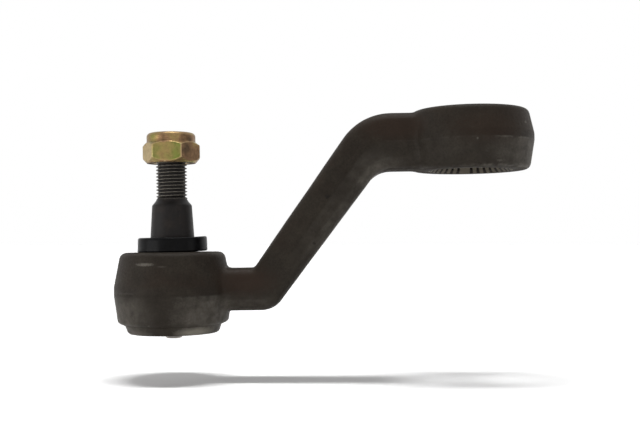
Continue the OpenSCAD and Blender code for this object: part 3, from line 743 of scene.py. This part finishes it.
def makeStud(spec):
    radius = ballRadius / mm
    join = math.sqrt(radius ** 2 - spec["neck"] ** 2)
    rows = [(0.02, -radius)]
    count = spec["ballRows"]
    for k in range(1, count + 1):   # the ball, from its foot to its equator
        z = -radius * math.cos(math.pi * k / (2 * count)) if k < count else 0
        rows.append((math.sqrt(max(radius ** 2 - z * z, 1e-6)), z))
    count = spec["neckRows"]
    for k in range(1, count + 1):   # and on to the neck
        z = join * math.sin(math.pi / 2 * k / count)
        rows.append((math.sqrt(radius ** 2 - z * z), z))
    rows += [(spec["neck"], z) for z in (join + 1.5, spec["neckFrom"], spec["neckTo"])]
    rows += [*spec["flare"], (spec["taperBig"], spec["taperFrom"])]
    slope = (spec["taperSmall"] - spec["taperBig"]) / (spec["taperTop"] - spec["taperLow"])
    taperLong = spec["taperTop"] - spec["taperSoft"] - spec["taperFrom"]
    for k in range(1, spec["taperRows"] + 1):
        z = spec["taperFrom"] + taperLong * k / spec["taperRows"]
        rows.append((spec["taperBig"] + slope * (z - spec["taperLow"]), z))
    rows += spec["shoulder"]
    deep, pitch = spec["threadDepth"], spec["pitch"]
    riseLow, riseTop = spec["runOut"]

    def cutRadius(z):
        reach = min(max((z - riseLow) / (riseTop - riseLow), 0), 1)
        limit = spec["threadRadius"] - max(0, z - spec["top"] + spec["tipChamfer"])

        def radiusAt(angle):
            turn = z / pitch - angle / (2 * math.pi) + spec["threadStart"]
            away = abs((turn + 0.5) % 1 - 0.5)   # 0 on the crest, 0.5 in the root
            cut = min(max((away - spec["crest"]) / spec["flank"], 0), 1)
            return min(spec["threadRadius"] - deep * reach * cut, limit)
        return radiusAt

    cutHeight = spec["top"] - spec["threadLow"]
    steps = int(cutHeight / pitch * spec["rowsPerPitch"])
    for k in range(steps + 1):
        z = spec["threadLow"] + cutHeight * k / steps
        rows.append((cutRadius(z), z))
    rows += [(r, spec["top"] + z) for r, z in spec["tip"]]
    stud = newPiece("threadedStud", *turned(rows, spec["around"]), blackStud, ball)
    smoothBy(stud.data, 38)
    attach(stud, "stud")
    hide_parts("ball_stud")
    return stud


threadedStud = makeStud(studSpec)
print("stud made,", len(threadedStud.data.polygons), "faces")

# the lock nut's form in mm, with heights from its washer face
nutSpec = {
    "low": 56.9,          # height of that face above the ball's centre
    "acrossFlats": 22.8, "height": 13.7, "hexHeight": 7.9,
    "collar": 11.0, "bore": 7.03,
    "turn": -2.2,         # degrees
    "washerFace": ((8.0, 0.06), (8.1, 0.0), (9.4, 0.0), (10.5, 0.0)),   # radius and height
    "lowChamfer": 2.2,    # in from the corners, at 45 degrees
    "topChamfer": 1.65,   # height over which the hexagon falls to the collar
    "chamferBelow": 0.15, "chamferOut": 0.2,   # it starts so far below the top and off the corners
    "cornerSharp": 110,   # higher gives sharper corners on the hexagon
    "edgeSoft": 0.4,      # where the chamfers meet the flats
    "collarFrom": 9.7, "collarTo": 10.8, "collarRound": 1.8,
    "rolledEdge": ((8.75, 0.0), (8.58, -0.06), (8.5, -0.25), (8.5, -1.0)),   # from the top
    "ringRadius": 9.7, "ringLow": 10.5,   # room for the locking ring
    "around": 216,
}


def makeNut(spec):
    corner = spec["acrossFlats"] / math.sqrt(3)
    apothem = spec["acrossFlats"] / 2
    power = spec["cornerSharp"]
    top, collar = spec["height"], spec["collar"]

    def hexRadius(angle):
        total = sum(max(math.cos(angle - math.radians(spec["turn"] + 30 + 60 * k)), 0) ** power
                    for k in range(6))
        return apothem / total ** (1 / power)

    def blunt(a, b):   # the smaller of the two, rounded where they meet
        k = spec["edgeSoft"]
        h = min(max(0.5 + 0.5 * (b - a) / k, 0), 1)
        return b + (a - b) * h - k * h * (1 - h)

    hexAt = {}

    def sideRow(z):
        if z < spec["hexHeight"] / 2:
            cone = corner - spec["lowChamfer"] + z
        else:
            rise = (z - spec["hexHeight"] + spec["chamferBelow"]) / spec["topChamfer"]
            outer = corner + spec["chamferOut"]
            cone = outer - (outer - collar) * rise

        def radiusAt(angle):
            if angle not in hexAt:
                hexAt[angle] = hexRadius(angle)
            return max(blunt(hexAt[angle], cone), collar if z > 5 else 0)
        return radiusAt

    rows = [(spec["bore"], 1.0), *spec["washerFace"]]
    # rows lie close together where the chamfers cut the flats
    heights = [0.03, 0.1, 0.2] + [0.2 + 0.2 * k for k in range(1, 14)]
    heights += [2.8 + 0.6 * k for k in range(1, 7)] + [6.6 + 0.15 * k for k in range(1, 19)]
    rows += [(sideRow(z), z) for z in heights]
    # the collar, rolled in over the locking ring
    rows += [(collar, spec["collarFrom"]), (collar, spec["collarTo"])]
    bend = spec["collarRound"]
    for k in range(9):
        t = math.pi / 2 * k / 8
        rows.append((collar - bend + bend * math.cos(t), top - bend + bend * math.sin(t)))
    rows += [(r, top + z) for r, z in spec["rolledEdge"]]
    rows += [(spec["ringRadius"], rows[-1][1]), (spec["ringRadius"], spec["ringLow"]),
             (spec["bore"], spec["ringLow"])]
    nut = newPiece("lockNut", *turned(rows, spec["around"], closed=True), yellowZinc,
                   ball + Vector((0, 0, spec["low"] * mm)))
    smoothBy(nut.data, 35)
    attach(nut, "stud")
    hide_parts("lock_nut")
    return nut


lockNut = makeNut(nutSpec)
print("nut made,", len(lockNut.data.polygons), "faces")

# the dust seal's form in mm, with heights from its foot
sealSpec = {
    "stand": 16.6,     # height of the foot above the ball's centre
    "foot": 15.8, "height": 6.6, "wall": 2.7, "draft": 0.3, "rim": 2.4, "roof": 2.6,
    "lip": 9.98, "dish": 0.6, "lipSlope": (0.9, 0.15), "lipDeep": 1.4,
    "pointStep": 0.7,  # between points, so the ring can ripple
    "lift": 0.65,      # the ring stands off the socket on the arm's side
    "liftPower": 8,    # higher keeps the lift nearer to that side
    "ripple": 0.05,    # unevenness of the moulded rubber
    "around": 128,
}


def makeSeal(spec):
    foot, high, lip = spec["foot"], spec["height"], spec["lip"]
    inner, dished = foot - spec["wall"], high - spec["dish"]
    slopeWide, slopeDeep = spec["lipSlope"]
    profile = softCorners([
        (inner, 0, 0.5), (foot, 0, 0.6), (foot - spec["draft"], high, 0.9),
        (foot - spec["rim"], high, 0.8), (lip + slopeWide, dished, 0),
        (lip, dished - slopeDeep, 0), (lip, dished - spec["lipDeep"], 0),
        (inner, high - spec["roof"], 0.8)], 6)
    fine = []
    for i, (r, z) in enumerate(profile):
        after = profile[(i + 1) % len(profile)]
        parts = max(1, int(math.hypot(after[0] - r, after[1] - z) / spec["pointStep"]))
        fine += [(r + (after[0] - r) * k / parts, z + (after[1] - z) * k / parts)
                 for k in range(parts)]
    verts, faces = turned(fine, spec["around"], closed=True)
    out = []
    for x, y, z in verts:
        soft = noise.noise(Vector((x / 5, y / 5, z / 4))) * spec["ripple"]
        grow = 1 + soft / math.hypot(x, y) if math.hypot(x, y) > lip + 2 else 1
        share = (x + foot) / (2 * foot)
        out.append((x * grow, y * grow, z + spec["lift"] * share ** spec["liftPower"]))
    base = ball + Vector((0, 0, spec["stand"] * mm))
    seal = newPiece("rubberSeal", out, faces, sealRubber, base)
    smoothBy(seal.data, 50)
    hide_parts("dust_seal")
    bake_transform(seal)
    return seal


rubberSeal = makeSeal(sealSpec)
print("seal made,", len(rubberSeal.data.polygons), "faces")

# the smaller pieces keep their solids
for name, material in (("upper_bearing", acetal), ("lower_bearing", acetal),
                       ("disc_spring", springSteel), ("cover_plate", pressedSteel),
                       ("grease_plug", brightZinc), ("nut_insert", nylonRing)):
    nodes[name].data.materials.clear()
    nodes[name].data.materials.append(material)
print("bearings, spring, cover, plug and locking ring dressed")

# the studio
stageSpec = {
    "floorMiddle": (-68, 0, -108.5),   # mm, at the height of the shadow under the part
    "floorSize": 40000,     # mm
    "sweep": 1.0, "room": 0.06, "zenith": 0.15,   # brightness of the surroundings
    "sweepWay": (-0.5, 0.866, 0),               # the sweep's middle is this way
    "ceiling": 1.5, "ceilingSpread": 9,         # strength, and degrees of each tube
    "ceilingFan": (-12, -6, 0, 6, 12),          # degrees, a row of tubes along the part
    "paper": 0.5, "paperSeen": 1.75,            # how much light the paper gives back
    # light boxes: place and size in m, and watts
    "boxes": (("leftBox", (-1.0, -0.5, -0.02), (0.8, 0.16), 2.4),
              ("rightBox", (0.85, -0.35, -0.02), (0.3, 0.16), 0.3),
              ("lowBox", (-0.07, -0.28, -0.098), (0.5, 0.08), 0.24)),
    "boxAim": (-0.07, 0, -0.05),             # m
    "cameraAt": (-68.85, -454.86, -45.89),   # mm
    "roll": 0.84,   # degrees, the part lies a little turned in the picture
    "lens": 56.25, "sensor": 36,   # mm
    "framingShift": 0.0445,        # share of the picture's width
}

# a white sweep behind and beside the part, a dim ceiling, a dark room behind the camera
world = bpy.data.worlds.new("StudioWhite")
world.use_nodes = True
bpy.context.scene.world = world
sky = world.node_tree
way = addNode(sky, "ShaderNodeTexCoord").outputs["Generated"]
facing = addNode(sky, "ShaderNodeVectorMath", {0: way, 1: stageSpec["sweepWay"]},
                 operation="DOT_PRODUCT")
depth = addNode(sky, "ShaderNodeMapRange", {
    "Value": facing, "From Min": -0.45, "From Max": 0.6, "To Min": stageSpec["room"],
    "To Max": stageSpec["sweep"]}, interpolation_type="SMOOTHSTEP")
height = addNode(sky, "ShaderNodeMapRange", {
    "Value": addNode(sky, "ShaderNodeSeparateXYZ", {0: way}).outputs["Z"],
    "From Min": 0.1, "From Max": 0.8, "To Min": 1.0, "To Max": stageSpec["zenith"]})
around = addNode(sky, "ShaderNodeMath", {0: depth, 1: height}, operation="MULTIPLY")
rays = addNode(sky, "ShaderNodeLightPath").outputs
mirrored = addNode(sky, "ShaderNodeMath", {
    0: rays["Is Glossy Ray"], 1: rays["Is Transmission Ray"]}, operation="MAXIMUM")
seen = addNode(sky, "ShaderNodeMath", {0: rays["Is Camera Ray"], 1: mirrored},
               operation="MAXIMUM")
level = addNode(sky, "ShaderNodeMix", {0: seen, 2: around, 3: 1.0}, data_type="FLOAT")
setInputs(sky, sky.nodes["Background"], {"Color": (1, 1, 1, 1), "Strength": level})

# white paper that the camera and reflections see a little overexposed, so that it meets the
# backdrop while the part's shadow stays on it
paper, paperTree, paperShader = startMaterial("StudioPaper", Roughness=0.9)[:3]
paperRays = addNode(paperTree, "ShaderNodeLightPath").outputs
paperSeen = addNode(paperTree, "ShaderNodeMath", {
    0: paperRays["Is Camera Ray"], 1: paperRays["Is Glossy Ray"]}, operation="MAXIMUM")
paperTone = addNode(paperTree, "ShaderNodeMix", {
    0: paperSeen, 6: (*[stageSpec["paper"]] * 3, 1), 7: (*[stageSpec["paperSeen"]] * 3, 1)},
    data_type="RGBA")
setInputs(paperTree, paperShader, {"Base Color": paperTone})
half = stageSpec["floorSize"] / 2
rise = half * math.tan(math.radians(stageSpec["roll"]))   # so that it is level in the picture
floor = newPiece("paleFloor", [(-half, -half, rise), (half, -half, -rise),
                               (half, half, -rise), (-half, half, rise)],
                 [(0, 1, 2, 3)], paper, Vector(stageSpec["floorMiddle"]) * mm)


def aimLamp(lamp, at, aim):
    lamp.location = at
    lamp.rotation_euler = (Vector(aim) - Vector(at)).to_track_quat("-Z", "Y").to_euler()
    lamp.visible_camera = False
    bpy.context.scene.collection.objects.link(lamp)


for k, lean in enumerate(stageSpec["ceilingFan"]):
    tube = bpy.data.lights.new("ceilingTube" + str(k), "SUN")
    tube.energy = stageSpec["ceiling"] / len(stageSpec["ceilingFan"])
    tube.angle = math.radians(stageSpec["ceilingSpread"])
    tilt = math.radians(lean + stageSpec["roll"])
    aimLamp(bpy.data.objects.new(tube.name, tube), (math.sin(tilt), 0, math.cos(tilt)), (0, 0, 0))
for name, at, size, watts in stageSpec["boxes"]:
    box = bpy.data.lights.new(name, "AREA")
    box.shape = "RECTANGLE"
    box.size, box.size_y = size
    box.energy = watts
    aimLamp(bpy.data.objects.new(name, box), at, stageSpec["boxAim"])

camera = bpy.data.objects.new("camera", bpy.data.cameras.new("camera"))
camera.location = [c * mm for c in stageSpec["cameraAt"]]
camera.rotation_euler = (math.pi / 2, math.radians(stageSpec["roll"]), 0)
camera.data.sensor_width = stageSpec["sensor"]
camera.data.lens = stageSpec["lens"]
camera.data.shift_y = stageSpec["framingShift"]
camera.data.clip_start = 0.01
bpy.context.scene.collection.objects.link(camera)
bpy.context.scene.camera = camera
bpy.context.scene.view_settings.view_transform = "Standard"
print("stage, lights and camera set")
